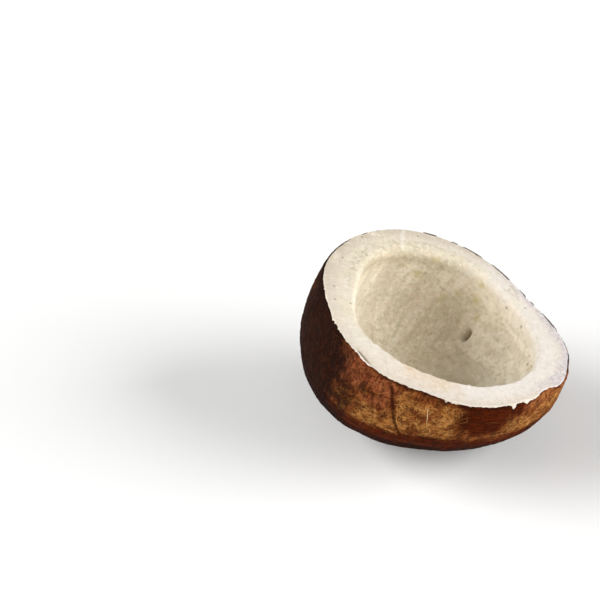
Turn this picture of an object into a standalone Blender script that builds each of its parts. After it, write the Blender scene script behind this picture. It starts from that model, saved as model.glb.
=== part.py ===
"""Half of a ripe coconut kernel, cut across: one cup of white flesh in a thin brown skin, with no hard shell.

It lies on its rounded side, on a small flat spot under its weight, so its cut face leans over.
Metres, +Z up. The origin is on the surface that it lies on, under the middle of its box.
"""
import math

import bmesh
import bpy
from mathutils import Matrix, Vector

# The cut face, and how the cup lies
CUT_RADIUS = 0.0467
CUT_CENTRE = Vector((0.00236, -0.00292, 0.05045))
TILT = math.radians(17.1)
HEADING = math.radians(-24.8)

# The outside, below the cut face
OUTER_DEPTH = 0.0543
OUTER_BULGE = 0.115
OUTER_DRIFT = Vector((-0.0108, 0.0062))

# The hollow
HOLLOW_RADIUS = 0.0348
HOLLOW_DEPTH = 0.0432
HOLLOW_BULGE = 0.16
HOLLOW_SHIFT = Vector((0.0012, -0.0005))
HOLLOW_DRIFT = Vector((-0.0105, 0.0070))

# How each outline strays from a circle: number of lobes, height of a lobe, and where one points in degrees
CUT_LOBES = ((2, 0.0024, -55.0), (3, 0.0016, -15.5), (4, 0.0006, -14.0), (5, 0.0005, -1.0), (6, 0.0004, -12.0))
HOLLOW_LOBES = ((2, 0.0015, -60.0), (3, 0.0011, -21.5), (4, 0.0005, 36.0), (5, 0.0003, -11.0))

# Further lobes of the skin, which grow from none at the cut to their full height halfway down, and fade again
BELLY_LOBES = ((1, 0.0005, 66.0), (2, 0.0011, 4.5), (3, 0.0012, -23.5), (4, 0.0005, -14.0))

# The rim's outer edge, and its rounded lip, which is widest in one direction
EDGE_SIZE = 0.0007
LIP_RADIUS = 0.0026
LIP_WIDENING = 0.0008
LIP_WIDEST = math.radians(150.0)

# The dent in the hollow's wall: its place on the wall, its length, width and depth, and how it leans
DENT_ANGLE = math.radians(44.0)
DENT_LEVEL = 0.39
DENT_SIZE = Vector((0.0062, 0.0036, 0.0030))
DENT_LEAN = math.radians(-86.0)

# How finely faces divide the surface
AROUND = 80
OUTER_STEPS = 18
RIM_STEPS = 3
LIP_STEPS = 4
HOLLOW_STEPS = 14
DENT_AROUND = 20
DENT_STEPS = 10

FLESH_COLOUR = (0.80, 0.74, 0.62, 1.0)
SKIN_COLOUR = (0.17, 0.07, 0.03, 1.0)


def clear_scene():
    for thing in list(bpy.data.objects):
        bpy.data.objects.remove(thing)


def material(name, colour, roughness):
    """A plain Principled material."""
    made = bpy.data.materials.new(name)
    made.use_nodes = True
    shader = made.node_tree.nodes["Principled BSDF"]
    shader.inputs["Base Color"].default_value = colour
    shader.inputs["Roughness"].default_value = roughness
    shader.inputs["Metallic"].default_value = 0.0
    return made


def lobes(angle, turn, outline):
    """How far an outline lies outside its circle in one direction. Below the cut the smaller lobes fade first."""
    total = 0.0
    for count, height, towards in outline:
        total += height * math.cos(turn) ** (count - 2) * math.cos(count * (angle - math.radians(towards)))
    return total


def outward(angle, distance):
    """The point of the cut plane this far from its centre in one direction."""
    return Vector((math.cos(angle), math.sin(angle))) * distance


def outer_point(angle, level):
    """A point of the skin. Level 0 is the cut and level 1 is the tip."""
    turn = level * math.pi / 2
    belly = lobes(angle, 0, BELLY_LOBES) * math.sin(2 * turn) ** 2
    radius = (CUT_RADIUS + lobes(angle, turn, CUT_LOBES) + belly) * math.cos(turn)
    radius *= 1 + OUTER_BULGE * math.sin(2 * turn)
    flat = outward(angle, radius) + OUTER_DRIFT * math.sin(turn) ** 2
    return Vector((flat.x, flat.y, -OUTER_DEPTH * math.sin(turn)))


def hollow_point(angle, level):
    """A point of the hollow's wall. Level 0 is the mouth and level 1 is the bottom."""
    turn = level * math.pi / 2
    radius = (HOLLOW_RADIUS + lobes(angle, turn, HOLLOW_LOBES)) * math.cos(turn)
    radius *= 1 + HOLLOW_BULGE * math.sin(2 * turn)
    flat = HOLLOW_SHIFT + outward(angle, radius) + HOLLOW_DRIFT * math.sin(turn) ** 2
    return Vector((flat.x, flat.y, -HOLLOW_DEPTH * math.sin(turn)))


def level_at(depth, full_depth):
    """The level at which a surface has come down this far."""
    return math.asin(depth / full_depth) * 2 / math.pi


def skin_line(angle):
    """The skin from just off the tip up to the rim's outer edge."""
    first = level_at(EDGE_SIZE, OUTER_DEPTH)
    levels = [1 - (1 - first) * step / OUTER_STEPS for step in range(1, OUTER_STEPS + 1)]
    return [outer_point(angle, level) for level in levels]


def rim_line(angle):
    """The flat of the rim, from its outer edge in to where the lip begins."""
    edge = outer_point(angle, 0).to_2d() - outward(angle, EDGE_SIZE)
    lip = lip_line(angle)[0].to_2d()
    return [edge.lerp(lip, step / RIM_STEPS).to_3d() for step in range(RIM_STEPS)]


def lip_line(angle):
    """The lip, a quarter round from the flat of the rim down to the hollow's wall."""
    size = LIP_RADIUS + LIP_WIDENING * math.cos(angle - LIP_WIDEST)
    points = []
    for step in range(LIP_STEPS + 1):
        turn = math.pi / 2 * step / LIP_STEPS
        depth = size * (1 - math.cos(turn))
        wall = hollow_point(angle, level_at(depth, HOLLOW_DEPTH))
        points.append(wall + outward(angle, size * (1 - math.sin(turn))).to_3d())
    return points


def hollow_line(angle):
    """The hollow's wall, from under the lip to just off its lowest point."""
    size = LIP_RADIUS + LIP_WIDENING * math.cos(angle - LIP_WIDEST)
    first = level_at(size, HOLLOW_DEPTH)
    levels = [first + (1 - first) * step / HOLLOW_STEPS for step in range(1, HOLLOW_STEPS)]
    return [hollow_point(angle, level) for level in levels]


def cup_mesh():
    """The whole cup in the cut's own frame: +Z out of the mouth, and z = 0 on the rim."""
    shape = bmesh.new()
    columns = []
    for step in range(AROUND):
        angle = 2 * math.pi * step / AROUND
        line = skin_line(angle) + rim_line(angle) + lip_line(angle) + hollow_line(angle)
        columns.append([shape.verts.new(point) for point in line])
    outer_tip = shape.verts.new(outer_point(0, 1))
    hollow_tip = shape.verts.new(hollow_point(0, 1))
    for left, right in zip(columns, columns[1:] + columns[:1]):
        shape.faces.new((outer_tip, left[0], right[0])).material_index = 1
        for row in range(len(left) - 1):
            face = shape.faces.new((left[row], left[row + 1], right[row + 1], right[row]))
            face.material_index = 1 if row < OUTER_STEPS - 1 else 0
        shape.faces.new((left[-1], hollow_tip, right[-1]))
    bmesh.ops.recalc_face_normals(shape, faces=shape.faces)
    return shape


def flatten_base(shape, placing):
    """Slices off what lies below the surface that the cup rests on, and closes the flat spot."""
    to_local = placing.inverted()
    point = to_local @ Vector((0, 0, 0))
    down = to_local.to_3x3() @ Vector((0, 0, -1))
    everything = shape.verts[:] + shape.edges[:] + shape.faces[:]
    cut = bmesh.ops.bisect_plane(shape, geom=everything, plane_co=point, plane_no=down, clear_outer=True)
    rim = [item for item in cut["geom_cut"] if isinstance(item, bmesh.types.BMEdge)]
    for face in bmesh.ops.edgeloop_fill(shape, edges=rim)["faces"]:
        face.material_index = 1
        face.smooth = False


def cut_frame():
    """Where the cut's own frame stands in the world: its Z axis is the way that the mouth faces."""
    facing = Vector((math.sin(TILT) * math.cos(HEADING), math.sin(TILT) * math.sin(HEADING), math.cos(TILT)))
    across = (Vector((1, 0, 0)) - facing * facing.x).normalized()
    turned = Matrix((across, facing.cross(across), facing)).transposed()
    return Matrix.Translation(CUT_CENTRE) @ turned.to_4x4()


def dent_frame():
    """A frame on the hollow's wall: Z stands off the wall, and X runs along the dent."""
    nearby = 0.01
    here = hollow_point(DENT_ANGLE, DENT_LEVEL)
    around = (hollow_point(DENT_ANGLE + nearby, DENT_LEVEL) - here).normalized()
    deeper = (hollow_point(DENT_ANGLE, DENT_LEVEL + nearby) - here).normalized()
    off_wall = around.cross(deeper).normalized()
    along = (around * math.cos(DENT_LEAN) + deeper * math.sin(DENT_LEAN)).normalized()
    turned = Matrix((along, off_wall.cross(along), off_wall)).transposed()
    return Matrix.Translation(here) @ turned.to_4x4()


def add_object(name, mesh, placing):
    made = bpy.data.objects.new(name, mesh)
    bpy.context.scene.collection.objects.link(made)
    made.matrix_world = placing
    return made


def make_dent_cutter(placing):
    """An egg-shaped cutter that scoops out the dent."""
    mesh = bpy.data.meshes.new("dent_cutter")
    shape = bmesh.new()
    bmesh.ops.create_uvsphere(shape, u_segments=DENT_AROUND, v_segments=DENT_STEPS, radius=0.5)
    bmesh.ops.scale(shape, vec=DENT_SIZE, verts=shape.verts)
    shape.to_mesh(mesh)
    shape.free()
    cutter = add_object("dent_cutter", mesh, placing @ dent_frame())
    cutter.hide_render = True
    cutter.display_type = "WIRE"
    return cutter


def make_coconut_half():
    """The flesh and its skin, one body with two materials."""
    placing = cut_frame()
    shape = cup_mesh()
    for face in shape.faces:
        face.smooth = True
    flatten_base(shape, placing)
    mesh = bpy.data.meshes.new("coconut_half")
    shape.to_mesh(mesh)
    shape.free()
    mesh.materials.append(material("flesh", FLESH_COLOUR, 0.5))
    mesh.materials.append(material("skin", SKIN_COLOUR, 0.7))
    half = add_object("coconut_half", mesh, placing)
    dent = half.modifiers.new("dent", "BOOLEAN")
    dent.operation = "DIFFERENCE"
    dent.solver = "EXACT"
    dent.object = make_dent_cutter(placing)
    return half


clear_scene()
make_coconut_half()
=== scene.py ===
"""Looks of one coconut half: white flesh, its torn brown skin, and the fibres that lie on the skin.

Lengths are in metres. Shapes are worked out in the cut's own frame, +Z out of the mouth and z = 0 on the rim,
and then placed in the row's frame. Levels run from 0 at the cut to 1 at the lowest point of a surface.
"""

import functools
import itertools
import math

import bpy
import numpy as np
from mathutils import Matrix, Vector


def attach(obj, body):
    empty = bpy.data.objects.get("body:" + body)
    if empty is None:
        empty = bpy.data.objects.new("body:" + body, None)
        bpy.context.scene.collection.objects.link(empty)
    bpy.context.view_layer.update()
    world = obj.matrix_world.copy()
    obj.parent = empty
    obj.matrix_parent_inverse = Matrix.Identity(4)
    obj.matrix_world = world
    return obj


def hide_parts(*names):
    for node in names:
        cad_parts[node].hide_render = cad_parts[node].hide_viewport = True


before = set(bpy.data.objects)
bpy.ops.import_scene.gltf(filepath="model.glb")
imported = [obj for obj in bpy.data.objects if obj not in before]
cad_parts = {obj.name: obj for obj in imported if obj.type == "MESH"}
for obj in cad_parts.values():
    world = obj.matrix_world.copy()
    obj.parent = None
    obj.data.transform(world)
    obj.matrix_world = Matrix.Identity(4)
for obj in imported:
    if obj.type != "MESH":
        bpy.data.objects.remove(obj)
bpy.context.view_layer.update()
NODE = "coconut_half"
MM = 1000.0

# The cut face, and how the cup lies. A lobe is a count, a height and the direction of one of them in degrees.
CUT_RADIUS = 0.0467
CUT_CENTRE = Vector((0.00236, -0.00292, 0.05045))
TILT = math.radians(17.1)
HEADING = math.radians(-24.8)
CUT_LOBES = ((2, 0.0024, -55.0), (3, 0.0016, -15.5), (4, 0.0006, -14.0), (5, 0.0005, -1.0),
             (6, 0.0004, -12.0))

# The outside, below the cut face
OUTER_DEPTH = 0.0543
OUTER_BULGE = 0.115
OUTER_DRIFT = (-0.0108, 0.0062)
BELLY_LOBES = ((1, 0.0005, 66.0), (2, 0.0011, 4.5), (3, 0.0012, -23.5), (4, 0.0005, -14.0))

# How far the cut's edge lies outside its outline, in degrees and millimetres. The shift fades below the cut.
EDGE_SHIFTS = ((0, 0.0), (200, 0.0), (210, -0.4), (214, -0.5), (218, -0.8), (222, -1.3), (226, -1.0),
               (231, -0.2), (236, 0.0), (242, 0.2), (246, -0.4), (254, -0.4), (258, -0.9), (262, -0.6),
               (270, -0.2), (275, 0.1), (290, -0.3), (304, -0.3), (308, 0.0), (312, 0.1), (316, -0.5),
               (320, -1.1), (324.5, -1.0), (328, 0.6), (332, 1.0), (336, 0.3), (340, 0.0), (344, -0.5),
               (348, -0.4), (353, -0.2))
EDGE_SHIFT_DEPTH = 0.003

# The hollow
HOLLOW_RADIUS = 0.0348
HOLLOW_DEPTH = 0.0432
HOLLOW_BULGE = 0.16
HOLLOW_SHIFT = (0.0012, -0.0005)
HOLLOW_DRIFT = (-0.0105, 0.007)
HOLLOW_LOBES = ((2, 0.0015, -60.0), (3, 0.0011, -21.5), (4, 0.0005, 36.0), (5, 0.0003, -11.0))

# The lip between the rim and the hollow, widest in one direction, wider in one arc and narrower in another
LIP_RADIUS = 0.0026
LIP_WIDENING = 0.0008
LIP_WIDEST = math.radians(150.0)
LIP_FAR = (25.0, 130.0, 0.0013)
LIP_NEAR = (215.0, 320.0, -0.0009)

# The dent in the hollow's wall, its small raised lip, and the step that finds its directions
DENT_ANGLE = math.radians(44.0)
DENT_LEVEL = 0.39
DENT_LENGTH = 0.0062
DENT_WIDTH = 0.0036
DENT_DEPTH = 0.0015
DENT_LIP = 0.00025
DENT_NEARBY = 0.01

# The skin, and how far the rim's outer edge is rounded off
SKIN_THICKNESS = 0.00045
EDGE_ROUND = 0.0004

# The camera: its angle above the level, where the cut's centre lies in its view, its lens and its distance
VIEW_ELEVATION = math.radians(32.0)
CUT_IN_VIEW = Vector((0.0518, -0.003, -0.0047))
LENS = 100.0
SENSOR = 36.0
VIEW_DISTANCE = 0.6083

# The step of angle or level that finds a surface's direction
NEARBY = 1e-4

# The way down the wall is this many times the depth
WALL_STRETCH = 1.5

# Random fields, each from its own seed. They repeat after this many cells.

FIELD_CELLS = 64


def field(points, size, seed):
    """A smooth random value from -1 to 1 at each point, with features of about this size."""
    lattice = np.random.default_rng(seed).uniform(-1.0, 1.0, (FIELD_CELLS,) * 3)
    scaled = points / size
    cell = np.floor(scaled).astype(int)
    part = scaled - cell
    eased = ease(0, 1, part)
    total = np.zeros(points.shape[:-1])
    for corner in itertools.product((0, 1), repeat=3):
        index = (cell + np.array(corner)) % FIELD_CELLS
        share = np.prod(np.where(corner, eased, 1 - eased), axis=-1)
        total += share * lattice[index[..., 0], index[..., 1], index[..., 2]]
    return total


def layers(points, size, seed, count=3):
    """Several fields on top of each other, each half as large and half as strong as the one before."""
    total = np.zeros(points.shape[:-1])
    for layer in range(count):
        total += field(points, size / 2 ** layer, seed + layer) / 2 ** layer
    return total


def most(*values):
    """The largest of several values at each point."""
    return functools.reduce(np.maximum, values)


def ease(low, high, value):
    """0 below low, 1 above high, and an even rise between them."""
    share = np.clip((value - low) / (high - low), 0, 1)
    return share * share * (3 - 2 * share)


# The cup's surfaces

def lobes(angle, turn, outline):
    """How far an outline lies outside its circle. Below the cut the smaller lobes fade first."""
    total = np.zeros(np.broadcast(angle, turn).shape)
    for count, height, towards in outline:
        total = total + height * np.cos(turn) ** (count - 2) * np.cos(count * (angle - math.radians(towards)))
    return total


def bowl(angle, level, radius, outline, bulge, depth, shift, drift):
    """Points of a leaning bowl."""
    turn = level * math.pi / 2
    out = (radius + lobes(angle, turn, outline)) * np.cos(turn) * (1 + bulge * np.sin(2 * turn))
    x = shift[0] + out * np.cos(angle) + drift[0] * np.sin(turn) ** 2
    y = shift[1] + out * np.sin(angle) + drift[1] * np.sin(turn) ** 2
    z = -depth * np.sin(turn) + 0 * angle
    return np.stack(np.broadcast_arrays(x, y, z), axis=-1)


def skin_at(angle, level):
    """Points of the skin's plain shape."""
    belly = lobes(angle, 0 * angle, BELLY_LOBES) * np.sin(level * math.pi) ** 2
    shift = np.interp(np.degrees(angle), *zip(*EDGE_SHIFTS), period=360) / MM
    shift = shift * ease(level_at(EDGE_SHIFT_DEPTH, OUTER_DEPTH), 0, level)
    radius = CUT_RADIUS + belly + shift
    return bowl(angle, level, radius, CUT_LOBES, OUTER_BULGE, OUTER_DEPTH, (0, 0), OUTER_DRIFT)


def hollow_at(angle, level):
    form = HOLLOW_RADIUS, HOLLOW_LOBES, HOLLOW_BULGE, HOLLOW_DEPTH, HOLLOW_SHIFT, HOLLOW_DRIFT
    return bowl(angle, level, *form)


def normals_of(surface, angle, level):
    """The way off a surface, away from the cup's middle line. The levels stay off the tip, which has none."""
    around = surface(angle + NEARBY, level) - surface(angle - NEARBY, level)
    lower, upper = np.clip(level + NEARBY, 0, 0.9995), np.clip(level - NEARBY, 0, 0.999)
    downward = surface(angle, lower) - surface(angle, upper)
    across = np.cross(downward, around)
    return across / np.linalg.norm(across, axis=-1, keepdims=True)


def level_at(depth, full_depth):
    """The level at which a surface has come down this far."""
    return np.arcsin(np.clip(depth / full_depth, 0, 1)) * 2 / math.pi


def outward(angle, distance):
    """Steps away from the middle, level with the cut."""
    flat = np.stack(np.broadcast_arrays(np.cos(angle), np.sin(angle), 0 * angle), axis=-1)
    return flat * np.asarray(distance)[..., None]


def cut_frame():
    """Where the cut's own frame stands in the row's frame."""
    facing = Vector((math.sin(TILT) * math.cos(HEADING), math.sin(TILT) * math.sin(HEADING), math.cos(TILT)))
    across = (Vector((1, 0, 0)) - facing * facing.x).normalized()
    turned = Matrix((across, facing.cross(across), facing)).transposed()
    return Matrix.Translation(CUT_CENTRE) @ turned.to_4x4()


PLACING = np.array(cut_frame())


def placed(points):
    """Points of the cut's frame in the row's frame."""
    return points @ PLACING[:3, :3].T + PLACING[:3, 3]


def angles(count):
    return 2 * math.pi * np.arange(count) / count


def wall_run(angle, level):
    """Where a point lies on the wall as if unrolled: round the cup, and down along it. It has no seam."""
    down = level * OUTER_DEPTH * WALL_STRETCH
    return outward(angle, CUT_RADIUS) + np.stack([0 * down, 0 * down, down], axis=-1)


# Meshes

def with_tips(values, tips):
    """A ring grid's values in one list, followed by those of its two tips."""
    values = np.asarray(values)
    return np.concatenate([values.reshape((-1,) + values.shape[2:]), np.asarray(tips, float)])


def new_mesh(name, points, faces, lowest=0.0):
    """A smooth mesh of points of the cut's frame. None of it is under lowest."""
    points = placed(points)
    points[:, 2] = np.maximum(points[:, 2], lowest)
    mesh = bpy.data.meshes.new(name)
    mesh.from_pydata(points.tolist(), [], faces)
    mesh.shade_smooth()
    mesh.update()
    return mesh


def closed_mesh(name, rings, tips, lowest):
    """A closed skin over rings of points, listed from the outer tip up and in."""
    rows, columns, _ = rings.shape
    here = np.arange(rows * columns).reshape(rows, columns)
    beside = np.roll(here, -1, axis=1)
    quads = np.stack([here[:-1], beside[:-1], beside[1:], here[1:]], axis=-1).reshape(-1, 4)
    first, last = rows * columns, rows * columns + 1
    fans = [(first, int(b), int(a)) for a, b in zip(here[0], beside[0])]
    fans += [(int(a), int(b), last) for a, b in zip(here[-1], beside[-1])]
    return new_mesh(name, with_tips(rings, tips), quads.tolist() + fans, lowest)


def store(mesh, key, values):
    """Stores one number or one vector on each point, for the materials."""
    values = np.asarray(values, np.float32)
    if values.ndim == 1:
        mesh.attributes.new(key, "FLOAT", "POINT").data.foreach_set("value", values)
    else:
        mesh.attributes.new(key, "FLOAT_VECTOR", "POINT").data.foreach_set("vector", values.ravel())


def add_object(name, data):
    made = bpy.data.objects.new(name, data)
    bpy.context.scene.collection.objects.link(made)
    return made


def add_piece(name, mesh, material):
    piece = add_object(name, mesh)
    mesh.materials.append(material)
    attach(piece, "root")
    return piece


# Marks that the photo shows, each at its own place

def from_line(points, places):
    """How far each point is from a line through these places."""
    nearest = np.full(points.shape[:-1], 1.0)
    for start, end in zip(places[:-1], places[1:]):
        along = end - start
        share = np.clip((points - start) @ along / (along @ along), 0, 1)
        nearest = np.minimum(nearest, np.linalg.norm(points - start - share[..., None] * along, axis=-1))
    return nearest


def apart(points, place):
    return np.linalg.norm(points - place, axis=-1)


def on_hollow(places):
    """Places on the hollow's wall, given as degrees and level."""
    return [hollow_at(np.radians(degrees), level) for degrees, level in places]


def on_skin(places):
    """Places on the skin, given as degrees and level."""
    return [skin_at(np.radians(degrees), level) for degrees, level in places]


def on_rim(places):
    """Places on the rim, given as degrees and radius."""
    return [outward(np.radians(degrees), radius) for degrees, radius in places]


def off_degrees(degrees, towards):
    """How many degrees apart two directions are."""
    return np.abs((degrees - towards + 180) % 360 - 180)


def in_arc(degrees, start, end, blur=0.7):
    """1 inside an arc of the cut and 0 outside it."""
    half = (end - start) / 2
    return 1 - ease(half - blur, half + blur, off_degrees(degrees, start + half))


# The skin's torn edge: the arcs of the far side where it reaches the cut, how far below the cut it begins
# elsewhere, and its teeth
SKIN_REACHES_CUT = ((338, 353), (8, 20), (26, 28.5), (33, 38), (46, 59), (65, 75), (78, 81), (88.5, 95))
FAR_ARC = (-22, 200)
FAR_EDGE_DEPTH = 0.0006
NEAR_EDGE_DEPTH = 0.00015
TOOTH_SIZE = 0.0015
TOOTH_DEPTH = 0.0005

# A white spur that hangs over the skin: degrees, half its width in degrees, and its depth
SPUR = (300.3, 1.5, 0.0019)

# A sliver split off the rim: degrees from and to, how far inside the edge it is, and how far it leans out
SLIVER = (221.0, 231.0, 0.0007, 0.0005)
SLIVER_WIDTH = 0.00032
SLIVER_DEPTH = 0.0006

# A light streak across the rim, and a crease along the lip with a painted highlight on it, as degrees and
# radius
RIM_STREAK = ((105.1, 0.0483), (108.1, 0.0428), (109.8, 0.0386))
RIM_STREAK_WIDTH, RIM_RIDGE_WIDTH = 0.0013, 0.0009
LIP_CREASE = ((131.8, 0.0368), (139.9, 0.0349), (150.1, 0.0337), (161.0, 0.0331), (168.0, 0.033))
LIP_CREASE_WIDTH = 0.0022
LIP_CREASE_ARC = (128, 160)

# A chipped place at the far end of the rim, as lines of degrees and radius
CHIP = (((43.2, 0.0357), (39.8, 0.0364), (41.0, 0.038)), ((39.0, 0.0362), (36.5, 0.0366), (34.7, 0.0371)),
        ((42.2, 0.0399), (38.5, 0.0395), (36.0, 0.0385), (31.9, 0.0372)))
CHIP_WIDTH, CHIP_DEPTH = 0.001, 0.00022

# Small knobs on the lip: degrees, and how far each stands out
LIP_KNOBS = ((280.0, 0.0004), (297.0, 0.0003), (241.0, 0.0002), (232.0, 0.0002), (312.0, 0.0002),
             (221.0, 0.0002))
KNOB_WIDTH = 1.3

# Thin creases in the hollow as degrees and level: sunk ones, and raised ones
CREASES = (((52.9, 0.474), (47.9, 0.492)), ((59.6, 0.385), (53.6, 0.378)),
           ((108.4, 0.634), (97.1, 0.654), (85.0, 0.66)), ((112.0, 0.6), (101.0, 0.615), (90.0, 0.61)))
FOLDS = (((54.5, 0.286), (50.1, 0.272), (48.9, 0.225)), ((104.0, 0.645), (96.8, 0.683), (85.1, 0.626)),
         ((96.8, 0.683), (90.0, 0.72)), ((34.9, 0.32), (26.1, 0.207)), ((38.0, 0.35), (28.0, 0.25)))
CREASE_WIDTH, CREASE_DEPTH = 0.0006, 0.0003
FOLD_WIDTH, FOLD_HEIGHT = 0.0008, 0.00026

# Pale wrinkled parts of the hollow's wall, also painted light where the deep right-hand wall glows: degrees
# and levels from and to, and how pale
PALE_WALL = ((112, 170, 0.25, 0.62, 0.6), (-35, 32, 0.42, 0.85, 0.55), (-40, 15, 0.22, 0.42, 0.25))

# Specks on the rim, as degrees and radius, and in the hollow, as degrees and level
RIM_SPECKS = ((128.5, 0.0472), (137.1, 0.0404), (136.5, 0.0382), (175.2, 0.0411), (185.5, 0.0409),
              (186.9, 0.035), (98.2, 0.046), (150.0, 0.0432), (24.0, 0.0372))
HOLLOW_SPECKS = ((357.2, 0.126), (353.1, 0.158), (344.7, 0.152), (346.9, 0.116), (16.8, 0.071), (34.7, 0.065),
                 (45.0, 0.01))
RIM_SPECK_SIZE = 0.0006
HOLLOW_SPECK_SIZE = 0.00085
SPECK_DEPTH = 0.00012

# Olive stains in the hollow: degrees, level and radius
OLIVE = ((89.8, 0.04, 0.0018), (105.6, 0.0, 0.0016), (57.9, 0.06, 0.0018), (56.3, 0.177, 0.0022),
         (48.6, 0.273, 0.002), (74.3, 0.276, 0.002), (68.7, 0.207, 0.0018), (95.0, 0.187, 0.0024))

# Orange blotches by the lip: degrees, radius, size and strength
BLOTCHES = ((246.5, 0.0362, 0.0022, 1.3), (236.0, 0.0368, 0.0016, 0.9))

# Areas of the skin, each as degrees from and to and levels from and to
GOLD = ((229, 246, 0.18, 0.3), (246, 257, 0.12, 0.285), (247, 278, 0.036, 0.235), (299, 319, 0.07, 0.19),
        (309, 338, -0.1, 0.11), (318, 334, -0.1, 0.15))
MAROON = ((277, 300, -0.1, 0.15), (298, 308, -0.1, 0.055))
RED = ((236, 249, -0.1, 0.15), (216, 236, -0.1, 0.12), (302, 340, -0.1, 0.055))
# How far their borders reach to either side
BORDER_DEGREES, BORDER_LEVELS = 2.6, 0.018

# Where the skin turns darker towards the tip, partly its own darker tone and partly painted shade near the
# floor: degrees, and the level there
LOW_EDGE = ((20, 0.3), (120, 0.3), (205, 0.33), (231, 0.32), (258, 0.286), (275, 0.235), (300, 0.195),
            (320, 0.18), (345, 0.22))

# Painted shade at the skin's left end, which is darkened as if it lay in shade, as degrees: none, full, full
# and none again. It leans lower down.
LEFT_SHADE = (120.0, 165.0, 203.0, 237.0)
LEFT_SHADE_LEAN = 10.0

# The part of the skin that faces the camera: degrees from and to, and the lowest level seen
SEEN = (190, 340, 0.45)

# Grooves in the skin: their depth, and their places as degrees and level
GROOVES = ((0.0005, ((244.2, 0.03), (248.0, 0.11), (251.7, 0.185), (256.2, 0.255), (259.0, 0.287))),
           (0.00028, ((238.1, 0.1), (241.7, 0.187), (245.6, 0.286))))
GROOVE_WIDTH = 0.0009


def torn_edge(angle):
    """How far below the cut the skin begins."""
    degrees = np.degrees(angle) % 360
    rim = skin_at(angle, np.zeros_like(angle))
    tooth = np.abs(layers(rim, TOOTH_SIZE, 11, 3))
    flake = ease(0.25, 0.7, field(rim, TOOTH_SIZE * 4, 15))
    near = NEAR_EDGE_DEPTH + TOOTH_DEPTH * tooth * (0.7 + 1.8 * flake)
    shown = np.clip(sum(in_arc(degrees, *arc) for arc in SKIN_REACHES_CUT), 0, 1)
    far = FAR_EDGE_DEPTH * (0.7 + 0.7 * tooth) * (1 - shown) + 0.0001 * tooth
    is_far = in_arc(degrees, *FAR_ARC, blur=2.0)
    return np.maximum(near * (1 - is_far) + far * is_far, spur_reach(degrees))


def spur_reach(degrees):
    """How far down the spur hangs."""
    middle, half, depth = SPUR
    return depth * np.clip(1.15 - off_degrees(degrees, middle) / half, 0, 1)


# The flesh

FLESH_COLUMNS = 640
FLESH_HIDDEN_ROWS = 6
FLESH_WALL_ROWS = 12
FLESH_EDGE_ROWS = 5
FLESH_RIM_ROWS = 24
FLESH_LIP_ROWS = 10
FLESH_HOLLOW_ROWS = 90

# The level of the last ring round a tip, and the share of the way down the hollow that the lip takes
LAST_LEVEL = 0.988
LIP_SHARE = 0.06

# How far down the flesh lies right under the skin, and how much further in it lies below that
WALL_DEPTH = 0.0045
HIDDEN_INSET = 0.0011


def grid_normals(rings):
    """The way off a surface at each point of its rings."""
    around = np.roll(rings, -1, axis=1) - np.roll(rings, 1, axis=1)
    along = np.gradient(rings, axis=0)
    off = np.cross(around, along)
    return off / np.maximum(np.linalg.norm(off, axis=-1, keepdims=True), 1e-12)


def flesh_rings():
    """The flesh's points ring by ring, with how far across the rim and down the hollow each one is."""
    angle = angles(FLESH_COLUMNS)[None, :]
    degrees = np.degrees(angle)
    blocks = []

    def block(points, across, down):
        shape = points.shape[:2]
        blocks.append((points, np.broadcast_to(across, shape), np.broadcast_to(down, shape)))

    brim = skin_at(angle, 0 * angle)
    ragged = 0.00014 * layers(brim, 0.0021, 21)
    deepest = level_at(WALL_DEPTH, OUTER_DEPTH)
    hidden = np.linspace(LAST_LEVEL, deepest, FLESH_HIDDEN_ROWS, endpoint=False)[:, None]
    wall = np.linspace(deepest, level_at(EDGE_ROUND, OUTER_DEPTH), FLESH_WALL_ROWS, endpoint=False)[:, None]
    for level in (hidden, wall):
        surface = skin_at(angle, level)
        depth = -surface[..., 2]
        inset = SKIN_THICKNESS + HIDDEN_INSET * ease(0.0013, WALL_DEPTH, depth)
        inset = inset + ragged * ease(0.0012, 0.0005, depth)
        inset = inset - SKIN_THICKNESS * 1.3 * ease(-0.0003, 0.0003, spur_reach(degrees) - depth)
        block(surface - normals_of(skin_at, angle, level) * inset[..., None], 1.0, 0.0)

    inset = SKIN_THICKNESS + ragged
    edge = brim - outward(angle, inset + EDGE_ROUND)
    turn = np.linspace(0, math.pi / 2, FLESH_EDGE_ROWS)[:, None]
    rounding = outward(angle, EDGE_ROUND * np.cos(turn))
    rounding[..., 2] = -EDGE_ROUND * (1 - np.sin(turn))
    block(edge + rounding, 1.0, 0.0)

    size = LIP_RADIUS + LIP_WIDENING * np.cos(angle - LIP_WIDEST)
    mouth = hollow_at(angle, 0 * angle)
    for start, end, extra in (LIP_FAR, LIP_NEAR):
        size = size + extra * in_arc(degrees, start, end, blur=30.0)
    size = size + 0.0004 * layers(mouth, 0.006, 25, 2)
    size = size + 0.00038 * layers(mouth, 0.0015, 27, 2) * in_arc(degrees, 190, 345, blur=12.0)
    size = size + 0.0006 * layers(mouth, 0.0036, 29, 2) * in_arc(degrees, 222, 256, blur=8.0)
    turn = np.linspace(0, math.pi / 2, FLESH_LIP_ROWS)[:, None]
    depth = size * (1 - np.cos(turn))
    lip = hollow_at(angle, level_at(depth, HOLLOW_DEPTH)) + outward(angle, size * (1 - np.sin(turn)))
    share = np.linspace(0, 1, FLESH_RIM_ROWS + 2)[1:-1][:, None] ** 1.3
    block(edge + (lip[:1] - edge) * share[..., None], 1 - share, 0.0)
    block(lip, 0.0, LIP_SHARE * turn / (math.pi / 2))

    first = level_at(size, HOLLOW_DEPTH)
    share = np.linspace(0, 1, FLESH_HOLLOW_ROWS + 1)[1:][:, None]
    level = first + (LAST_LEVEL - first) * share
    block(hollow_at(angle, level), 0.0, LIP_SHARE + (1 - LIP_SHARE) * share)
    return [np.concatenate(part) for part in zip(*blocks)]


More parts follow.
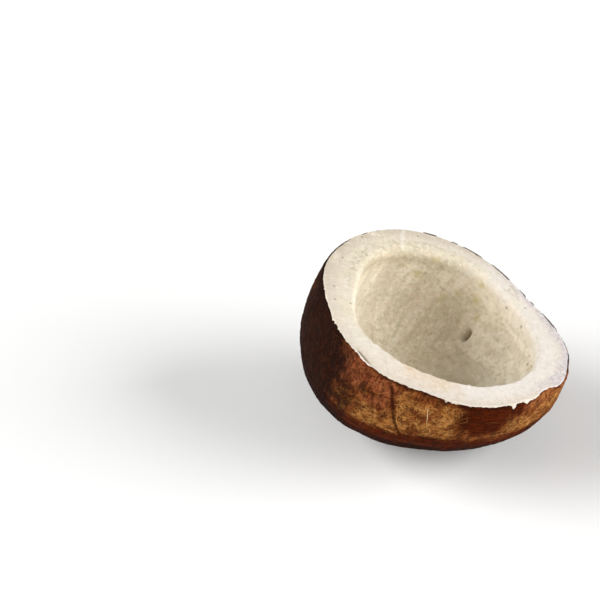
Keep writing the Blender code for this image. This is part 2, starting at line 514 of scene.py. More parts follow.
def dent_relief(points):
    """The dent, and how much painted shade darkens it: it deepens slowly from one side and ends in a steep
    side.
    """
    here = hollow_at(DENT_ANGLE, DENT_LEVEL)
    around = hollow_at(DENT_ANGLE + DENT_NEARBY, DENT_LEVEL) - here
    deeper = hollow_at(DENT_ANGLE, DENT_LEVEL + DENT_NEARBY) - here
    side = (points - here) @ (around / np.linalg.norm(around))
    along = (points - here) @ (deeper / np.linalg.norm(deeper))
    bent = side - along ** 2 / (DENT_LENGTH * 2.0)
    slope = ease(DENT_WIDTH * 0.75, -DENT_WIDTH * 0.25, bent)
    steep = ease(-DENT_WIDTH * 0.5, -DENT_WIDTH * 0.32, bent)
    ends = ease(DENT_LENGTH * 0.56, DENT_LENGTH * 0.2, np.abs(along))
    shape = slope * steep * ends
    lip = ease(DENT_WIDTH * 0.14, 0, np.abs(bent + DENT_WIDTH * 0.56)) * ends
    return DENT_DEPTH * shape - DENT_LIP * lip, shape


def flesh_relief(rings, across, down, angle):
    """How far each point of the flesh stands off the plain shape, and the marks that its material shows. Some
    marks are painted shade or painted light.
    """
    degrees = np.degrees(angle)[None, :] + 0 * across
    top = ease(-0.0012, -0.0002, rings[..., 2]) * ease(0.03, 0.0, down)
    inside = ease(0.03, 0.12, down)
    run = wall_run(angle[None, :], down)
    relief = top * (0.00012 * layers(rings, 0.0045, 31) + 0.00005 * field(rings, 0.001, 35))
    relief += inside * (0.00022 * layers(rings, 0.0075, 41) + 0.00007 * layers(rings, 0.0022, 45, 2))
    upright = in_arc(degrees, 55, 150, blur=20.0)
    streaks = upright * layers(run * np.array((0.8, 0.8, 0.14)), 0.003, 51)
    streaks += (1 - upright) * layers(run * np.array((0.3, 0.3, 0.9)), 0.0026, 51)
    streaks = streaks * ease(0.88, 0.6, down)
    relief += inside * 0.00012 * streaks
    dent, dark = dent_relief(rings)
    relief -= dent
    fine = 0.0002 * field(rings, 0.0012, 57)
    for crease in CREASES:
        relief -= CREASE_DEPTH * ease(CREASE_WIDTH, 0, from_line(rings, on_hollow(crease)) + fine)
    light = np.zeros(rings.shape[:-1])
    for fold in FOLDS:
        near = ease(FOLD_WIDTH, 0, from_line(rings, on_hollow(fold)) + fine)
        relief += FOLD_HEIGHT * near
        light = np.maximum(light, 0.35 * near)

    lip = ease(0.12, 0.0, across) * ease(0.14, 0.05, down)
    wrinkles = ease(0.0, 0.9, layers(run * np.array((0.35, 0.35, 1.2)), 0.0024, 153, 3))
    # The pale parts are wrinkles, and on the deep right-hand wall also painted light for its glow.
    for start, end, highest, lowest, share in PALE_WALL:
        zone = in_arc(degrees, start, end, blur=18.0) * ease(highest - 0.1, highest + 0.1, down)
        zone = zone * ease(lowest + 0.1, lowest - 0.1, down)
        light = np.maximum(light, share * zone * (0.35 + 0.65 * wrinkles))
        relief += 0.0001 * zone * wrinkles
    for knob, height in LIP_KNOBS:
        relief += height * lip * ease(KNOB_WIDTH, 0, off_degrees(degrees, knob))
    crease = from_line(rings, on_rim(LIP_CREASE)) + 0.0006 * layers(rings, 0.0035, 59, 2)
    crease = ease(LIP_CREASE_WIDTH, 0.0001, crease) * ease(-1.6, 0.8, layers(rings, 0.003, 151, 2))
    crease = crease * in_arc(degrees, *LIP_CREASE_ARC, blur=10.0)
    relief += 0.00005 * crease

    streak = from_line(rings, on_rim(RIM_STREAK)) + fine
    relief += 0.0001 * ease(RIM_RIDGE_WIDTH, 0, streak)
    chips = np.minimum.reduce([from_line(rings, on_rim(places)) for places in CHIP]) + fine
    chips = ease(CHIP_WIDTH, 0.0001, chips) * top
    relief -= CHIP_DEPTH * chips

    split = ease(SLIVER_WIDTH * 1.3, SLIVER_WIDTH * 0.6, np.abs(past_split(rings, angle)))
    split = split * in_arc(degrees, *SLIVER[:2], blur=3.0) * top
    relief -= SLIVER_DEPTH * split

    # Dark marks: the real specks, with painted shade in the sliver's split, in the dent and in the chips.
    stain_and_shade = most(0.6 * split, 0.85 * dark, 0.2 * chips)
    specks = [(place, RIM_SPECK_SIZE) for place in on_rim(RIM_SPECKS)]
    specks += [(place, HOLLOW_SPECK_SIZE) for place in on_hollow(HOLLOW_SPECKS)]
    for place, size in specks:
        near = ease(size, size * 0.3, apart(rings, place))
        stain_and_shade = np.maximum(stain_and_shade, 0.75 * near)
        relief -= SPECK_DEPTH * near
    # The crease's lightening is a painted highlight on the lip's shoulder.
    light = most(light, 0.55 * ease(RIM_STREAK_WIDTH, 0, streak), 0.42 * crease)
    olive = np.zeros(rings.shape[:-1])
    for *place, size in OLIVE:
        far = apart(rings, on_hollow([place])[0]) / size
        olive = np.maximum(olive, ease(1.3, 0.2, far + 0.5 * layers(rings, 0.0018, 55, 2)))
    marks = {"stain_and_shade": stain_and_shade, "light": light, "olive": olive, "streaks": 0.5 + 0.5 * streaks}
    return relief, {**marks, **flesh_tints(rings, across, down, degrees)}


def flesh_tints(rings, across, down, degrees):
    """Where the flesh has the hollow's look and where it has each of its tones, from 0 to 1. The far lip's
    darkening is painted shade, and so is part of the darkening deep in the hollow.
    """
    drift = 12 * layers(rings, 0.012, 201, 2)
    drifted = degrees + drift
    spread = layers(rings, 0.0045, 205)
    rim = ease(0.05, 0.0, down)
    warm = in_arc(drifted, 85, 225, blur=35.0)
    warm = np.maximum(warm, 0.45 * ease(0.0, 0.15, down))
    patch = in_arc(drifted, 105, 195, blur=22.0) * ease(0.85, 0.45, across + 0.2 * spread)
    patch = patch * rim * ease(-0.7, 0.7, spread)
    inner = in_arc(drifted, 30, 125, blur=25.0) * ease(0.45, 0.05, across + 0.15 * spread)
    inner = inner * ease(0.3, 0.08, down) * ease(-1.0, 0.6, spread)
    yellow = np.maximum(0.7 * patch, inner)
    high = in_arc(degrees, 72, 165, blur=16.0)
    wall = ease(0.02 - 0.025 * high, 0.2 - 0.13 * high, down + (0.02 + 0.02 * high) * spread)
    rough = wall * (1 - 0.5 * in_arc(degrees, -60, 60, blur=15.0))
    onto = high * ease(0.42, 0.08, across + 0.1 * spread) * ease(0.12, 0.04, down)
    rough = np.maximum(rough, 0.9 * onto)
    # Painted shade: the far lip and the rim beside it are darkened.
    lip_shade = in_arc(drifted, 80, 152, blur=22.0) * ease(0.0, 0.025, down)
    lip_shade = lip_shade * ease(0.14, 0.05, down + 0.02 * spread)
    brim = in_arc(drifted, 58, 152, blur=22.0) * ease(0.5, 0.12, across + 0.1 * spread) * rim
    lip_shade = most(lip_shade, 0.25 * brim, 0.42 * onto)
    far = in_arc(drifted, 68, 172, blur=25.0) * ease(0.0, 0.95, across + 0.1 * spread) * rim
    blotch = in_arc(degrees + 0.3 * drift, 238, 274, blur=9.0) * rim
    blotch = blotch * ease(1.0, 0.35, across + 0.15 * spread)
    for *place, size, share in BLOTCHES:
        near = apart(rings, on_rim([place])[0]) / size
        blotch = np.maximum(blotch, share * ease(1.4, 0.2, near + 0.4 * spread))
    lilac = in_arc(degrees, -38, 48, blur=14.0) * ease(0.45, 0.85, across + 0.15 * spread) * rim
    # Darker, greyer flesh deep in the middle of the hollow: partly its own greyer tone, partly painted shade
    # of the hollow's depth.
    deep = ease(0.1, 0.35, down) * ease(0.9, 0.5, down)
    deep = deep * in_arc(drifted, 32, 134, blur=34.0)
    return {"warm": warm, "yellow": yellow, "lilac": lilac, "deep": deep, "lip_shade": lip_shade, "far": far,
            "blotch": blotch, "wall": wall, "rough": rough}


def past_split(rings, angle):
    """How far outside the sliver's split each point is."""
    edge = apart(skin_at(angle, 0 * angle), 0)
    return apart(rings[..., :2], 0) - (edge - SKIN_THICKNESS - SLIVER[2])


def lean_out(rings, across, angle):
    """The split sliver leans out over the skin."""
    start, end, _, lean = SLIVER
    degrees = np.degrees(angle)[None, :] + 0 * across
    middle, half = (start + end) / 2 + 1.0, (end - start) / 2 + 2.0
    arc = ease(1, 0, off_degrees(degrees, middle) / half)
    beyond = ease(0.0, SLIVER_WIDTH * 1.3, past_split(rings, angle)) * ease(-0.0016, -0.0008, rings[..., 2])
    return rings + outward(angle[None, :], lean * arc * beyond)


def make_flesh(material):
    rings, across, down = flesh_rings()
    angle = angles(FLESH_COLUMNS)
    relief, marks = flesh_relief(rings, across, down, angle)
    rings = lean_out(rings + grid_normals(rings) * relief[..., None], across, angle)
    tips = np.array([skin_at(0.0, 1.0) + (0, 0, HIDDEN_INSET), hollow_at(0.0, 1.0)])
    mesh = closed_mesh("coconut_flesh", rings, tips, HIDDEN_INSET)
    store(mesh, "place", with_tips(rings, tips) * MM)
    for key, values in {"across": across, "down": down, **marks}.items():
        store(mesh, key, with_tips(values, (values[0, 0], values[-1, 0])))
    piece = add_piece("coconut_flesh", mesh, material)
    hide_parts(NODE)


# The skin

SKIN_COLUMNS = 720
SKIN_OUTER_ROWS = 108
SKIN_INNER_ROWS = 14

# How deep the skin is sunk in the flesh, how far its corner is rounded off, and its deepest relief
SKIN_BURIED = 0.0003
CORNER = 0.00012
DEEPEST_RELIEF = 0.0009


def area(degrees, level, boxes, wobble):
    """1 in some areas of the skin and 0 outside them, with ragged borders."""
    total = np.zeros(np.broadcast(degrees, level).shape)
    for start, end, upper, lower in boxes:
        sides = ((end - start) / 2 - off_degrees(degrees, (start + end) / 2)) / BORDER_DEGREES
        ends = np.minimum(level - upper, lower - level) / BORDER_LEVELS
        total = np.maximum(total, ease(-1.4, 1.4, np.minimum(sides, ends) + 2.0 * wobble))
    return total


def skin_look(angle, level, points):
    """The skin's relief, and how strong each of its marks is, at points of its plain shape. Some marks are
    painted shade: the dark left end, the dark underside, the dark line under the rim and the dark in the
    furrows.
    """
    degrees = np.degrees(angle) % 360
    wobble = layers(points, 0.0045, 61)
    run = wall_run(angle, level)
    length = run * np.array((1.0, 1.0, 0.14))
    round_it = run * np.array((0.12, 0.12, 1.0))

    start, end, lowest = SEEN
    seen = in_arc(degrees, start, end, blur=3.0) * ease(lowest + 0.03, lowest, level)
    gold = area(degrees, level, GOLD, wobble) * seen
    gold = np.maximum(gold, ease(0.0, 0.5, layers(points, 0.011, 63)) * (1 - seen))
    maroon = area(degrees, level, MAROON, wobble)
    red = area(degrees, level, RED, wobble)
    border = np.interp(degrees, *zip(*LOW_EDGE), period=360)
    low = ease(-0.022, 0.02, level - border + 0.018 * wobble)

    # Painted shade: below the low border the skin is darkened further, as under the cup where it meets the
    # floor.
    under = ease(0.065, 0.135, level - border + 0.02 * wobble)
    # Painted shade: the left end of the skin is darkened as if shaded from that side.
    left_shade = np.interp(degrees + 5 * wobble - LEFT_SHADE_LEAN * ease(0.01, 0.12, level), LEFT_SHADE, (0, 1, 1, 0))
    rough = (1 - 0.8 * maroon) * (1 - 0.5 * low)
    furrow = ease(0.82, 1.0, 1 - np.abs(layers(length, 0.0034, 71))) * rough * (1 - 0.6 * gold)
    crease = ease(0.012, 0.002, np.abs(level - border + 0.018 * wobble)) * (1 - maroon)
    crease = crease * ease(-0.6, 0.6, layers(run, 0.008, 83, 2))
    rings = layers(round_it, 0.0016, 85, 2)
    relief = 0.00028 * layers(points, 0.0095, 65, 2)
    relief += rough * 0.00013 * layers(length, 0.0026, 75)
    relief += rough * 0.00011 * layers(points, 0.0016, 81, 2)
    relief += low * 0.0001 * rings
    relief -= 0.00018 * furrow + 0.00022 * crease
    cut = np.zeros(points.shape[:-1])
    for depth, places in GROOVES:
        groove = ease(GROOVE_WIDTH, 0.0002, from_line(points, on_skin(places)) + 0.0002 * wobble)
        relief -= depth * groove
        cut = np.maximum(cut, groove * depth / GROOVES[0][0])
    # The furrows, the crease at the low border and the grooves are darkened in colour: painted shade in them.
    furrow = most(0.6 * furrow, 0.7 * crease, cut)
    lines = ease(0.25, 0.7, rings) * low * (0.25 + 0.75 * seen)
    return {"relief": np.maximum(relief, -DEEPEST_RELIEF), "gold": gold * (1 - 0.7 * low), "maroon": maroon,
            "red": red, "low": low, "under": under, "left_shade": left_shade, "furrow": furrow, "lines": lines}


def make_skin(material):
    angle = angles(SKIN_COLUMNS)[None, :]
    top = level_at(torn_edge(angle), OUTER_DEPTH)
    share = np.linspace(1, 0, SKIN_OUTER_ROWS)[:, None] ** 1.2
    level = top + (LAST_LEVEL - top) * share
    outer = skin_at(angle, level)
    look = skin_look(angle, level, outer)
    depth = (level - top) * OUTER_DEPTH * WALL_STRETCH
    relief = look.pop("relief") * ease(0, 0.0016, depth) - CORNER * ease(CORNER * 2, 0, depth)
    # Painted shadow: a dark line just under the rim's edge, on top of the skin's dark torn edge.
    look["brink_shadow"] = ease(0.0013, 0.0004, depth + 0.0007 * layers(outer, 0.0016, 95, 2))
    near = ease(-1.1, 0.3, layers(outer, 0.005, 97, 2))
    near = near * in_arc(np.degrees(angle), 232, 304, blur=10.0)
    look["brink_shadow"] *= np.maximum(near, in_arc(np.degrees(angle), -20, 130, blur=5.0))
    outer = outer + normals_of(skin_at, angle, level) * relief[..., None]

    down = np.linspace(0, 1, SKIN_INNER_ROWS)[:, None] ** 1.5
    level = top + (LAST_LEVEL - top) * down
    inner = skin_at(angle, level)
    inside = SKIN_THICKNESS + SKIN_BURIED + 0.0006 * ease(0.001, 0.003, -inner[..., 2])
    inner = inner - normals_of(skin_at, angle, level) * inside[..., None]
    rings = np.concatenate([outer, inner])
    tip = skin_at(0.0, 1.0)
    tips = np.array([tip, tip + (0, 0, SKIN_THICKNESS + SKIN_BURIED)])
    mesh = closed_mesh("coconut_skin", rings, tips, 0.0)

    run = wall_run(angle, np.concatenate([share, down]))
    store(mesh, "place", with_tips(rings, tips) * MM)
    store(mesh, "run", with_tips(run, run[0, :2]) * MM)
    for key, values in look.items():
        values = np.concatenate([values, np.broadcast_to(values[-1:], inner.shape[:2])])
        store(mesh, key, with_tips(values, values[0, :2]))
    piece = add_piece("coconut_skin", mesh, material)
    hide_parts(NODE)


# The fibres that lie on the skin

FIBRES = 3900
FIBRE_POINTS = 8
FIBRE_STEP = (0.00016, 0.00045)
FIBRE_WIDTH = (0.00005, 0.00012)
FIBRE_FLATNESS = 0.6
FIBRE_ENDS = (0.04, 0.96)

# The levels where a fibre may start, the lowest that it may reach, and how many places are tried for each
FIBRE_LEVELS = (0.012, 0.93)
LOWEST_FIBRE = 0.97
FIBRE_TRIES = 5

# The shares of the fibres that run freely and that run down the wall. The others run round the cup.
FREE_FIBRES, UPRIGHT_FIBRES = 0.3, 0.1

# Loose light fibres: tone, half width, and places in degrees and level
LOOSE_FIBRES = (
    (1.3, 0.00011, ((262.0, 0.056), (262.7, 0.08), (263.7, 0.107), (264.6, 0.138))),
    (1.1, 0.00008, ((263.3, 0.092), (264.0, 0.08), (263.7, 0.066))),
    (1.0, 0.00008, ((260.9, 0.09), (262.0, 0.096), (264.6, 0.094))),
    (0.9, 0.00008, ((264.9, 0.138), (265.4, 0.16), (266.8, 0.182))),
    (0.7, 0.00009, ((228.1, 0.235), (230.2, 0.222), (231.1, 0.2), (233.7, 0.193), (235.6, 0.19))),
    (0.6, 0.00008, ((229.6, 0.258), (230.8, 0.229), (230.9, 0.206))),
    (0.8, 0.0001, ((238.2, 0.094), (241.0, 0.087), (243.2, 0.067), (244.6, 0.054))),
    (0.8, 0.0001, ((250.1, 0.11), (251.8, 0.145), (252.9, 0.185), (254.9, 0.215), (256.2, 0.24))),
    (0.6, 0.00009, ((287.8, 0.082), (291.5, 0.079), (297.0, 0.092))),
    (0.6, 0.0001, ((311.0, 0.04), (315.1, 0.03), (320.8, 0.016))),
    (0.6, 0.0001, ((313.8, 0.071), (319.0, 0.064), (324.4, 0.058))))
LOOSE_FIBRE_POINTS = 14


def fibre_paths(count, seed):
    """Wandering lines over the skin, most of them round the cup."""
    dice = np.random.default_rng(seed)
    pool = count * FIBRE_TRIES
    low, high = FIBRE_LEVELS
    angle = dice.uniform(0, 2 * math.pi, pool)
    level = np.arcsin(dice.uniform(math.sin(low), math.sin(high), pool))
    start = skin_at(angle, level)
    look = skin_look(angle, level, start)
    clump = ease(-0.7, 0.7, layers(start, 0.004, 91, 2))
    chance = (0.12 + look["gold"] * (0.3 + clump)) * (1 - 0.85 * look["maroon"]) * (1 - 0.7 * look["red"])
    kept = np.argsort(dice.uniform(0, 1, pool) / np.maximum(chance, 1e-3))[:count]
    angle, level = angle[kept], level[kept]

    kind = dice.uniform(0, 1, count)
    heading = np.where(kind < 1 - FREE_FIBRES, dice.normal(0, 0.5, count), dice.uniform(-1.6, 1.6, count))
    heading = np.where(kind > 1 - UPRIGHT_FIBRES, math.pi / 2 + dice.normal(0, 0.2, count), heading)
    turning = dice.normal(0, 0.1, count)
    stride = dice.uniform(*FIBRE_STEP, count)
    path = []
    for _ in range(FIBRE_POINTS):
        path.append((angle, level))
        here = skin_at(angle, level)
        around = apart(skin_at(angle + NEARBY, level), here)
        deeper = apart(skin_at(angle, level + NEARBY), here)
        angle = angle + stride * np.cos(heading) * NEARBY / np.maximum(around, 1e-7)
        level = np.clip(level + stride * np.sin(heading) * NEARBY / deeper, low, LOWEST_FIBRE)
        turning = turning * 0.7 + dice.normal(0, 0.13, count)
        heading = heading + turning
    return (*map(np.array, zip(*path)), dice)


def strands(angle, level, width, lift):
    """Thin tapering closed rods along lines on the skin. Each is a column of angles and levels."""
    steps, count = angle.shape
    plain = skin_at(angle, level)
    off = normals_of(skin_at, angle, level)
    look = skin_look(angle, level, plain)
    bed = plain + off * look["relief"][..., None]
    along = np.gradient(bed, axis=0)
    side = np.cross(off, along)
    side /= np.linalg.norm(side, axis=-1, keepdims=True)
    middle = bed + off * lift[..., None]
    corners = []
    for across, up in ((1, -0.4), (0, 1), (-1, -0.4)):
        raised = middle + off * (width * up * FIBRE_FLATNESS)[..., None]
        corners.append(raised + side * (width * across)[..., None])
    points = np.stack(corners, axis=2).transpose(1, 0, 2, 3).reshape(-1, 3)
    index = np.arange(len(points)).reshape(count, steps, 3)
    beside = np.roll(index, -1, axis=2)
    quads = np.stack([index[:, :-1], index[:, 1:], beside[:, 1:], beside[:, :-1]], axis=-1).reshape(-1, 4)
    ends = np.concatenate([index[:, 0, :], index[:, -1, ::-1]])
    return points, quads.tolist() + ends.tolist(), look


def taper(step):
    """A fibre's width along it, from 0 to 1."""
    return np.sin(math.pi * np.clip(step, *FIBRE_ENDS)) ** 0.5


def strand_piece(name, points, faces, tone, look, material):
    mesh = new_mesh(name, points, faces)
    # The fibres take the skin's painted shade at its left end and lower down, and the dark of its maroon
    # patch.
    shade = most(look["left_shade"], 0.75 * look["low"], 0.5 * look["maroon"])
    store(mesh, "tone", tone)
    for key, values in {"gold": look["gold"], "shade": shade}.items():
        store(mesh, key, np.repeat(values.T.ravel(), 3))
    store(mesh, "place", points * MM)
    add_piece(name, mesh, material)


def make_fibres(material):
    angle, level, dice = fibre_paths(FIBRES, 97)
    step = np.linspace(0, 1, FIBRE_POINTS)[:, None]
    width = dice.uniform(*FIBRE_WIDTH, FIBRES) * taper(step)
    weave = 0.4 * np.sin(step * dice.uniform(3, 9, FIBRES) + dice.uniform(0, 6, FIBRES))
    points, faces, look = strands(angle, level, width, width * FIBRE_FLATNESS * (0.15 + weave))
    tone = np.repeat(dice.uniform(0, 1, FIBRES), FIBRE_POINTS * 3)
    strand_piece("skin_fibres", points, faces, tone, look, material)


def make_loose_fibres(material):
    share = np.linspace(0, 1, LOOSE_FIBRE_POINTS)
    columns = []
    for _, _, places in LOOSE_FIBRES:
        degrees, levels = zip(*places)
        at = np.linspace(0, 1, len(places))
        columns.append((np.radians(np.interp(share, at, degrees)), np.interp(share, at, levels)))
    angle, level = (np.array(part).T for part in zip(*columns))
    width = taper(share)[:, None] * np.array([half for _, half, _ in LOOSE_FIBRES])
    points, faces, look = strands(angle, level, width, width * FIBRE_FLATNESS)
    tone = np.repeat([tone for tone, _, _ in LOOSE_FIBRES], LOOSE_FIBRE_POINTS * 3)
    strand_piece("loose_fibres", points, faces, tone, look, material)


# Materials

def shade_of(red, green, blue):
    """The colour of these screen values, for a material."""
    channels = []
    for value in (red / 255, green / 255, blue / 255):
        channels.append(value / 12.92 if value < 0.04045 else ((value + 0.055) / 1.055) ** 2.4)
    return (*channels, 1.0)


class Nodes:
    """Builds a material's nodes. Its colours are screen values from 0 to 255."""

    def __init__(self, name):
        self.material = bpy.data.materials.new(name)
        self.material.use_nodes = True
        self.tree = self.material.node_tree
        self.shader = self.tree.nodes["Principled BSDF"]
        self.colour = None

    def add(self, kind, inputs=(), **settings):
        node = self.tree.nodes.new(kind)
        for key, value in settings.items():
            setattr(node, key, value)
        for key, value in dict(inputs).items():
            self.put(node.inputs[key], value)
        return node

    def put(self, socket, value):
        if isinstance(value, bpy.types.NodeSocket):
            self.tree.links.new(value, socket)
        elif socket.type == "RGBA":
            socket.default_value = shade_of(*value)
        else:
            socket.default_value = value

    def value(self, key, share=None):
        """One of the marks stored on the mesh, or a share of it."""
        mark = self.add("ShaderNodeAttribute", attribute_name=key).outputs["Fac"]
        return mark if share is None else self.times(mark, share)

    def vector(self, key, stretch=(1, 1, 1)):
        spot = self.add("ShaderNodeAttribute", attribute_name=key).outputs["Vector"]
        return self.add("ShaderNodeVectorMath", {0: spot, 1: stretch}, operation="MULTIPLY").outputs[0]

    def noise(self, spot, size, detail=3.0, rough=0.55, warp=0.0):
        inputs = {"Vector": spot, "Scale": 1 / size, "Detail": detail, "Roughness": rough, "Distortion": warp}
        return self.add("ShaderNodeTexNoise", inputs).outputs["Fac"]

    def ramp(self, value, low, high, start=0.0, end=1.0):
        inputs = {"Value": value, "From Min": low, "From Max": high, "To Min": start, "To Max": end}
        return self.add("ShaderNodeMapRange", inputs, interpolation_type="SMOOTHSTEP").outputs["Result"]

    def math(self, operation, first, second=0.0):
        return self.add("ShaderNodeMath", {0: first, 1: second}, operation=operation).outputs[0]

    def times(self, first, second):
        return self.math("MULTIPLY", first, second)

    def mix(self, share, first, second):
        node = self.add("ShaderNodeMix", data_type="RGBA")
        self.put(node.inputs[0], share)
        self.put(node.inputs[6], first)
        self.put(node.inputs[7], second)
        return node.outputs[2]

    def over(self, colour, noise, low, high, other, share=1.0):
        """A colour with another over it where a noise is high."""
        return self.mix(self.ramp(noise, low, high, 0.0, share), colour, other)

    def lay(self, share, colour):
        """Lays a colour over the material's colour so far."""
        self.colour = self.mix(share, self.colour, colour)

    def bump(self, height, distance, under=None):
        inputs = {"Height": height, "Distance": distance, "Strength": 1.0}
        if under is not None:
            inputs["Normal"] = under
        return self.add("ShaderNodeBump", inputs).outputs["Normal"]

    def ridge(self, spot, size, low, high, warp):
        """Thin winding lines: 1 along the middle value of a noise and 0 off it."""
        off = self.math("ABSOLUTE", self.math("SUBTRACT", self.noise(spot, size, 2.0, 0.5, warp), 0.5))
        return self.ramp(off, high, low)

    def set(self, **values):
        for key, value in values.items():
            self.put(self.shader.inputs[key.replace("_", " ")], value)


def flesh_material():
    paint = Nodes("coconut_flesh")
    place = paint.vector("place")
    across = paint.value("across")
    broad = paint.noise(place, 5.5, 4.0, 0.6, 0.5)
    tint = paint.noise(place, 3.4, 5.0, 0.65, 0.6)
    grain = paint.noise(place, 1.7, 5.0, 0.74, 0.4)
    fine = paint.noise(place, 0.42, 3.0, 0.6)
    hollow, rough = paint.value("wall"), paint.value("rough")

    paint.colour = paint.mix(paint.value("warm"), (230, 222, 213), (228, 218, 200))
    paint.lay(paint.value("yellow", 0.42), (229, 216, 182))
    outer = paint.ramp(across, 0.35, 1.0, 0.0, 0.65)
    paint.lay(outer, (214, 200, 184))
    paint.lay(paint.value("far", 0.48), (184, 170, 150))
    lilac = paint.over((220, 211, 214), grain, 0.4, 0.6, (196, 188, 195))
    paint.lay(paint.value("lilac", 0.8), lilac)
    blotch = paint.times(paint.value("blotch"), paint.ramp(tint, 0.35, 0.6, 0.35, 0.95))
    paint.lay(paint.times(blotch, 0.6), (220, 190, 148))
    paint.lay(paint.times(hollow, 0.85), (238, 230, 210))
    # Partly the flesh's greyer tone deep in the hollow, partly painted shade of its depth.
    deep = paint.times(paint.value("deep"), paint.ramp(broad, 0.3, 0.6, 0.6, 1.0))
    paint.lay(paint.times(deep, 0.72), (204, 191, 168))
    # Painted shade on the far lip and the rim beside it.
    paint.lay(paint.value("lip_shade", 0.85), (196, 186, 160))
    for noise, low, high, on_smooth, on_rough, shade in (
        (tint, 0.5, 0.64, 0.22, 0.45, (202, 196, 168)), (tint, 0.47, 0.36, 0.12, 0.45, (227, 204, 182)),
        (grain, 0.5, 0.66, 0.2, 0.6, (176, 158, 124)), (grain, 0.47, 0.34, 0.4, 0.6, (247, 240, 226)),
    ):
        share = paint.ramp(rough, 0.0, 0.7, on_smooth, on_rough)
        paint.lay(paint.times(paint.ramp(noise, low, high), share), shade)
    bands = paint.times(paint.ramp(paint.value("streaks"), 0.75, 0.25), paint.times(hollow, 0.34))
    paint.lay(bands, (176, 160, 128))
    paint.lay(paint.value("olive", 0.6), (194, 180, 124))
    specks = paint.ramp(paint.noise(place, 0.75, 2.0, 0.5), 0.59, 0.66)
    specks = paint.times(specks, paint.ramp(paint.value("lilac"), 0.1, 0.9, 0.14, 0.6))
    specks = paint.times(specks, paint.ramp(across, 0.0, 0.2))
    paint.lay(specks, (142, 126, 122))
    # Paler marks: folds, the rim streak and pale wrinkles, with a painted highlight on the lip crease and
    # painted light in the pale parts of the wall.
    paint.lay(paint.value("light", 0.7), (244, 239, 230))
    # Real specks, and painted shade in the split, the dent and the chips.
    paint.lay(paint.value("stain_and_shade"), (112, 88, 40))

    bumps = paint.bump(fine, 0.00007)
    bumps = paint.bump(grain, 0.00034, bumps)
    paint.set(Base_Color=paint.colour, Roughness=paint.ramp(grain, 0.3, 0.7, 0.42, 0.58), Normal=bumps)
    paint.set(Subsurface_Weight=0.2, Subsurface_Radius=(0.0016, 0.0012, 0.0008), Subsurface_Scale=1.0)
    paint.set(Specular_IOR_Level=0.3)
    return paint.material


def skin_material():
    paint = Nodes("coconut_skin")
    place = paint.vector("place")
    lengthways = paint.vector("run", (1.0, 1.0, 0.22))
    crossways = paint.vector("run", (0.26, 0.26, 1.0))
    patch = paint.noise(place, 4.5, 4.0, 0.6, 0.5)
    streak = paint.noise(lengthways, 1.3, 4.0, 0.6, 0.6)
    wisps = paint.noise(crossways, 0.95, 4.0, 0.6, 0.8)
    blots = paint.noise(place, 1.6, 5.0, 0.68, 0.8)
    net = paint.ridge(crossways, 0.8, 0.004, 0.05, 1.2)
    web = paint.ridge(place, 1.6, 0.004, 0.035, 1.8)
    fine = paint.noise(place, 0.45, 3.0, 0.7)

    brown = paint.over((56, 19, 5), streak, 0.4, 0.6, (110, 50, 19))
    brown = paint.over(brown, patch, 0.5, 0.62, (134, 74, 30), 0.6)
    brown = paint.over(brown, blots, 0.53, 0.64, (158, 96, 46), 0.7)
    rust = paint.over((80, 31, 15), blots, 0.42, 0.58, (138, 70, 43))
    rust = paint.over(rust, streak, 0.5, 0.62, (164, 98, 62), 0.5)
    rust = paint.over(rust, patch, 0.46, 0.36, (66, 22, 9), 0.6)
    paint.colour = paint.mix(paint.value("red", 0.9), brown, rust)
    gold = paint.times(paint.value("gold"), paint.ramp(patch, 0.4, 0.54, 0.1, 1.0))
    gold = paint.times(gold, paint.ramp(paint.value("red"), 0.0, 1.0, 1.0, 0.3))
    ground = paint.over((84, 33, 8), wisps, 0.45, 0.56, (166, 100, 43))
    ground = paint.over(ground, blots, 0.52, 0.58, (202, 143, 80), 0.75)
    ground = paint.over(ground, blots, 0.46, 0.41, (74, 28, 7), 0.85)
    paint.lay(paint.times(gold, 0.95), ground)
    thread = paint.times(paint.math("MAXIMUM", net, web), paint.ramp(gold, 0.0, 1.0, 0.14, 0.6))
    paint.lay(thread, (206, 152, 84))
    # The lower skin's darker colour: its own tone, with painted shade where the cup meets the floor.
    low_tone_and_shade = paint.over((38, 9, 1), wisps, 0.42, 0.6, (84, 26, 4))
    paint.lay(paint.value("low", 0.94), low_tone_and_shade)
    paint.lay(paint.value("lines", 0.45), (120, 54, 18))
    worn = paint.over((52, 13, 1), wisps, 0.45, 0.62, (78, 25, 3))
    paint.lay(paint.value("maroon", 0.95), worn)
    # Painted shade under the cup, near black.
    paint.lay(paint.value("under", 0.9), (26, 7, 1))
    # Painted shade in the furrows, creases and grooves.
    paint.lay(paint.value("furrow", 0.85), (42, 13, 3))
    # Painted shade: the skin's left end darkened nearly to black.
    left_shade_colour = paint.over((20, 9, 7), blots, 0.5, 0.64, (52, 26, 15), 0.6)
    left_shade = paint.math("ADD", paint.value("left_shade"), paint.math("SUBTRACT", patch, 0.5))
    paint.lay(paint.ramp(left_shade, 0.15, 0.85, 0.0, 0.95), left_shade_colour)
    # Painted shadow under the rim's edge.
    paint.lay(paint.value("brink_shadow", 0.85), (44, 15, 5))
    paint.lay(paint.ramp(fine, 0.35, 0.65, 0.24, 0.0), (34, 11, 3))

    bumps = paint.bump(fine, 0.0001)
    bumps = paint.bump(streak, 0.0002, bumps)
    bumps = paint.bump(blots, 0.00024, bumps)
    bumps = paint.bump(thread, 0.00014, bumps)
    paint.set(Base_Color=paint.colour, Roughness=paint.ramp(streak, 0.3, 0.7, 0.66, 0.85), Normal=bumps)
    paint.set(Specular_IOR_Level=0.02)
    return paint.material


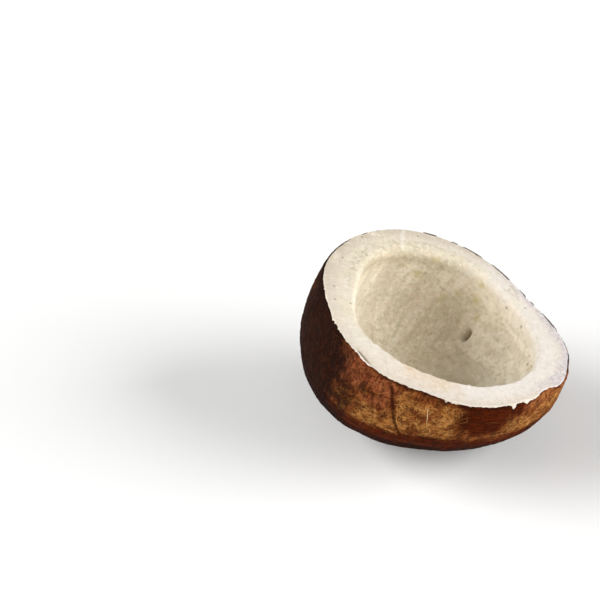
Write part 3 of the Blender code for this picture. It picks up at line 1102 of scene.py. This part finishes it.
def fibre_material():
    paint = Nodes("skin_fibres")
    place = paint.vector("place")
    tone = paint.math("ADD", paint.value("tone"), paint.value("gold", 0.4))
    tone = paint.math("ADD", tone, paint.math("SUBTRACT", paint.noise(place, 1.2), 0.5))
    paint.colour = paint.over((88, 40, 12), tone, 0.2, 1.4, (200, 142, 76))
    paint.lay(paint.ramp(tone, 1.35, 1.9), (236, 212, 172))
    # Painted shade on the fibres, with the maroon patch's dark.
    paint.lay(paint.value("shade", 0.92), (44, 16, 5))
    paint.set(Base_Color=paint.colour, Roughness=0.65, Normal=paint.bump(paint.noise(place, 0.3), 0.00005))
    paint.set(Specular_IOR_Level=0.03)
    return paint.material


# The floor, the light and the camera

FLOOR_SIZE = 3.0
FLOOR_COLOURS = ((250, 250, 249), (247, 247, 246))
LIGHT_SOFTNESS = math.radians(50.0)
STUDIO_LIGHT = 0.16

# Each light's name, the direction that it comes from, and its strength
LIGHTS = (("left", (-1.0, 0.0, 0.47), 3.5), ("right", (1.0, -0.25, 0.38), 3.7),
          ("front", (0.0, -1.0, 0.34), 1.0))


def make_floor():
    half = FLOOR_SIZE / 2
    mesh = bpy.data.meshes.new("floor")
    corners = [(-half, -half, 0), (half, -half, 0), (half, half, 0), (-half, half, 0)]
    mesh.from_pydata(corners, [], [(0, 1, 2, 3)])
    floor = add_object("floor", mesh)
    paint = Nodes("floor")
    spot = paint.add("ShaderNodeTexCoord").outputs["Object"]
    tone = paint.noise(spot, 0.4)
    paint.set(Base_Color=paint.mix(tone, *FLOOR_COLOURS), Roughness=0.9)
    mesh.materials.append(paint.material)


def make_lights():
    """Soft lights from far away, and an even light from all round."""
    for name, source, strength in LIGHTS:
        lamp = bpy.data.lights.new(name, "SUN")
        lamp.energy = strength
        lamp.angle = LIGHT_SOFTNESS
        light = add_object(name, lamp)
        light.rotation_euler = Vector(source).to_track_quat("Z", "Y").to_euler()
    world = bpy.data.worlds.new("studio")
    world.use_nodes = True
    background = world.node_tree.nodes["Background"]
    background.inputs["Color"].default_value = (1.0, 1.0, 1.0, 1.0)
    background.inputs["Strength"].default_value = STUDIO_LIGHT
    bpy.context.scene.world = world
    bpy.context.scene.view_settings.view_transform = "Standard"


def make_camera():
    back = Vector((0, -math.cos(VIEW_ELEVATION), math.sin(VIEW_ELEVATION)))
    lens = bpy.data.cameras.new("camera")
    lens.lens = LENS
    lens.sensor_width = SENSOR
    camera = add_object("camera", lens)
    camera.location = CUT_CENTRE - CUT_IN_VIEW + back * VIEW_DISTANCE
    camera.rotation_euler = (math.pi / 2 - VIEW_ELEVATION, 0, 0)
    bpy.context.scene.camera = camera


make_flesh(flesh_material())
make_skin(skin_material())
fibre_paint = fibre_material()
make_fibres(fibre_paint)
make_loose_fibres(fibre_paint)
make_floor()
make_lights()
make_camera()
